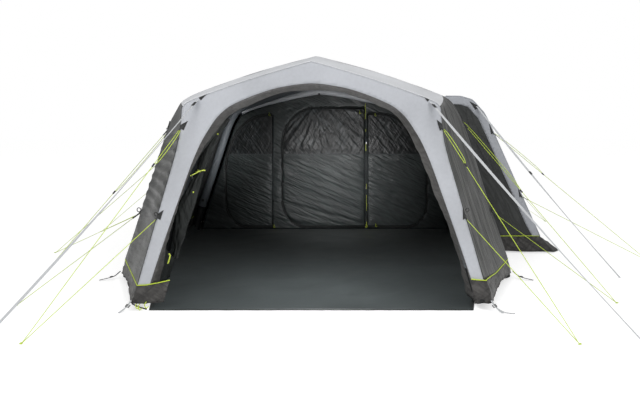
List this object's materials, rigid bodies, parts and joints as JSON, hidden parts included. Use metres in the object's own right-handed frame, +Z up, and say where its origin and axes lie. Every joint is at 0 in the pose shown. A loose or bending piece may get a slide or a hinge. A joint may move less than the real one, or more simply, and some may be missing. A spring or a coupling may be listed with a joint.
{
  "type": "inflatable tent",
  "caption": "Inflatable tunnel tent with a front canopy, air beams, an inner tent with zipped doors and a side wing.",
  "frame": {"origin": "on the ground under the groundsheet, on the ridge line, halfway between the front plane and the rear wall", "axes": "+Y from the front arch to the rear wall, +Z up, +X towards the side wing"},
  "size_m": [7.1125, 7.4647, 2.28],
  "materials": {
    "light_cloth": "matte coated polyester",
    "dark_cloth": "matte coated polyester",
    "return_cloth": "matte coated polyester",
    "skirt_cloth": "matte coated polyester",
    "groundsheet_cloth": "satin coated polyethylene",
    "inner_cloth": "thin satin polyester",
    "sleeve_cloth": "matte polyester",
    "bladder_film": "clear film",
    "black_plastic": "moulded",
    "slider_metal": "satin",
    "guy_cord": "woven cord",
    "strap_webbing": "woven webbing"
  },
  "bodies": {
    "tent": {"fascia": "light_cloth", "roof": "light_cloth", "wing_roof": "light_cloth", "canopy_side_left": "dark_cloth", "canopy_side_right": "dark_cloth", "side_left": "dark_cloth", "side_right_front": "dark_cloth", "side_right_rear": "dark_cloth", "rear_wall": "dark_cloth", "wing_front_wall": "dark_cloth", "wing_rear_wall": "dark_cloth", "wing_side_wall": "dark_cloth", "arch_return": "return_cloth", "door_curtain": "return_cloth", "skirt_left": "skirt_cloth", "skirt_right": "skirt_cloth", "skirt_rear": "skirt_cloth", "skirt_wing": "skirt_cloth", "groundsheet": "groundsheet_cloth", "inner_tent": "inner_cloth", "bedroom_front_wall": "inner_cloth", "divider_left": "inner_cloth", "divider_right": "inner_cloth", "beam_sleeve_1": "sleeve_cloth", "beam_sleeve_2": "sleeve_cloth", "beam_sleeve_3": "sleeve_cloth", "beam_sleeve_4": "sleeve_cloth", "beam_sleeve_5": "sleeve_cloth", "beam_bladder_1": "bladder_film", "beam_bladder_2": "bladder_film", "beam_bladder_3": "bladder_film", "beam_bladder_4": "bladder_film", "beam_bladder_5": "bladder_film", "guy_front_left": "guy_cord", "guy_front_right": "guy_cord", "guy_canopy_left": "guy_cord", "guy_canopy_right": "guy_cord", "guy_middle_left": "guy_cord", "guy_bedroom_left": "guy_cord", "guy_wing_front": "guy_cord", "guy_wing_rear": "guy_cord", "storm_strap_left": "strap_webbing", "storm_strap_right": "strap_webbing", "storm_strap_wing": "strap_webbing"},
    "bedroom_door_left": {"bedroom_door_left": "inner_cloth"},
    "bedroom_door_middle": {"bedroom_door_middle": "inner_cloth"},
    "bedroom_door_right": {"bedroom_door_right": "inner_cloth"},
    "wing_door": {"wing_door": "dark_cloth"},
    "valve_cap_1": {"valve_cap_1": "black_plastic"},
    "valve_cap_2": {"valve_cap_2": "black_plastic"},
    "valve_cap_3": {"valve_cap_3": "black_plastic"},
    "valve_cap_4": {"valve_cap_4": "black_plastic"},
    "valve_cap_5": {"valve_cap_5": "black_plastic"},
    "runner_front_left": {"runner_front_left": "black_plastic"},
    "runner_front_right": {"runner_front_right": "black_plastic"},
    "runner_canopy_left": {"runner_canopy_left": "black_plastic"},
    "runner_canopy_right": {"runner_canopy_right": "black_plastic"},
    "runner_wing_front": {"runner_wing_front": "black_plastic"},
    "zip_slider_upper": {"zip_slider_upper": "slider_metal"},
    "zip_slider_lower": {"zip_slider_lower": "slider_metal"}
  },
  "joints": [
    {"name": "left_door_hinge", "type": "hinge", "parent": "tent", "child": "bedroom_door_left", "pos_m": [-0.79, 1.02, 0.9], "axis": [0, 0, 1], "range_deg": [0, 85]},
    {"name": "middle_door_hinge", "type": "hinge", "parent": "tent", "child": "bedroom_door_middle", "pos_m": [0.6, 1.02, 0.9], "axis": [0, 0, 1], "range_deg": [0, 85]},
    {"name": "right_door_hinge", "type": "hinge", "parent": "tent", "child": "bedroom_door_right", "pos_m": [0.65, 1.02, 0.9], "axis": [0, 0, -1], "range_deg": [0, 85]},
    {"name": "wing_door_hinge", "type": "hinge", "parent": "tent", "child": "wing_door", "pos_m": [2.65922, -0.2967, 0.29126], "axis": [0.4078, 0, -0.9131], "range_deg": [0, 90]},
    {"name": "upper_slider_slide", "type": "slide", "parent": "tent", "child": "zip_slider_upper", "axis": [0, 0, 1], "range_m": [-0.4, 0.4]},
    {"name": "lower_slider_slide", "type": "slide", "parent": "tent", "child": "zip_slider_lower", "axis": [0, 0, 1], "range_m": [-0.5, 0.2]},
    {"name": "valve_cap_1_hinge", "type": "hinge", "parent": "tent", "child": "valve_cap_1", "pos_m": [-1.3425, -2.9684, 0.47], "axis": [1, 0, 0], "range_deg": [0, 110]},
    {"name": "valve_cap_2_hinge", "type": "hinge", "parent": "tent", "child": "valve_cap_2", "pos_m": [-1.80957, -1.8884, 0.47], "axis": [1, 0, 0], "range_deg": [0, 110]},
    {"name": "valve_cap_3_hinge", "type": "hinge", "parent": "tent", "child": "valve_cap_3", "pos_m": [-1.80957, -0.5684, 0.47], "axis": [1, 0, 0], "range_deg": [0, 110]},
    {"name": "valve_cap_4_hinge", "type": "hinge", "parent": "tent", "child": "valve_cap_4", "pos_m": [-1.80957, 0.8914, 0.47], "axis": [-1, 0, 0], "range_deg": [0, 110]},
    {"name": "valve_cap_5_hinge", "type": "hinge", "parent": "tent", "child": "valve_cap_5", "pos_m": [-1.80957, 2.9714, 0.47], "axis": [-1, 0, 0], "range_deg": [0, 110]},
    {"name": "runner_front_left_slide", "type": "slide", "parent": "tent", "child": "runner_front_left", "axis": [-0.4719, -0.4091, -0.781], "range_m": [-0.15, 0.35]},
    {"name": "runner_front_right_slide", "type": "slide", "parent": "tent", "child": "runner_front_right", "axis": [0.4382, -0.4211, -0.7941], "range_m": [-0.15, 0.35]},
    {"name": "runner_canopy_left_slide", "type": "slide", "parent": "tent", "child": "runner_canopy_left", "axis": [-0.4974, -0.4723, -0.7277], "range_m": [-0.3, 0.15]},
    {"name": "runner_canopy_right_slide", "type": "slide", "parent": "tent", "child": "runner_canopy_right", "axis": [0.5381, -0.4211, -0.7302], "range_m": [-0.3, 0.15]},
    {"name": "runner_wing_front_slide", "type": "slide", "parent": "tent", "child": "runner_wing_front", "axis": [0.7316, -0.2173, -0.6462], "range_m": [-0.3, 0.15]}
  ]
}
